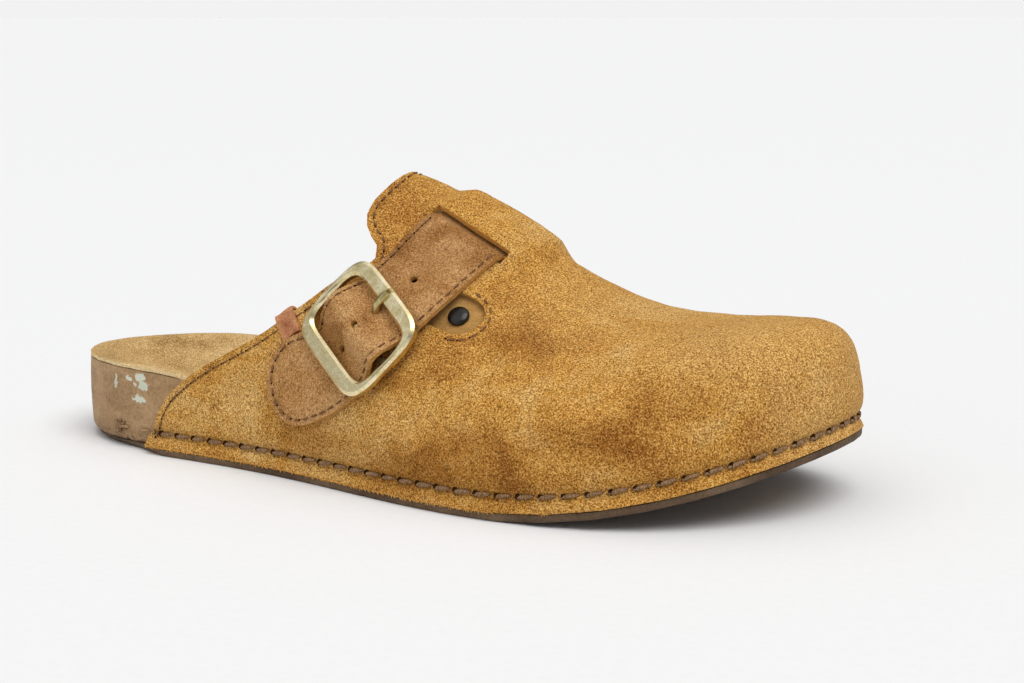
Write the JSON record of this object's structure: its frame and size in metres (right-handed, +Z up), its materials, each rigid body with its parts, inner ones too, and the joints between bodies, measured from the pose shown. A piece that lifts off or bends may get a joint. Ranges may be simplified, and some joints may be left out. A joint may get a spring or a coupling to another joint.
{
  "type": "clog slipper",
  "caption": "Closed-toe, open-heel slip-on clog with a contoured footbed and a strap that buckles over the instep.",
  "frame": {"origin": "on the floor, at the centre of the heel's flat resting spot, 38 mm ahead of the back of the footbed, on the shoe's middle line", "axes": "+X towards the toe, +Z up, -Y towards the outer side of this right shoe"},
  "size_m": [0.2799, 0.1151, 0.0953],
  "materials": {
    "outsole_rubber": "matt, dusty",
    "footbed_edge": "matt, scuffed coating over cork",
    "insole_suede": "suede nap",
    "upper_suede": "suede nap",
    "strap_leather": "oiled suede",
    "chape_leather": "oiled suede",
    "facing_leather": "smooth",
    "rivet_black": "gloss black coating",
    "buckle_brass": "aged, satin",
    "prong_brass": "aged, satin",
    "tag_leather": "suede nap"
  },
  "bodies": {
    "root": {"outsole": "outsole_rubber", "footbed": "footbed_edge", "insole": "insole_suede", "upper": "upper_suede", "strap": "strap_leather", "chape": "chape_leather", "notch_facing": "facing_leather", "rivet": "rivet_black", "buckle_frame": "buckle_brass", "buckle_prong": "prong_brass", "collar_tag": "tag_leather"}
  },
  "joints": []
}
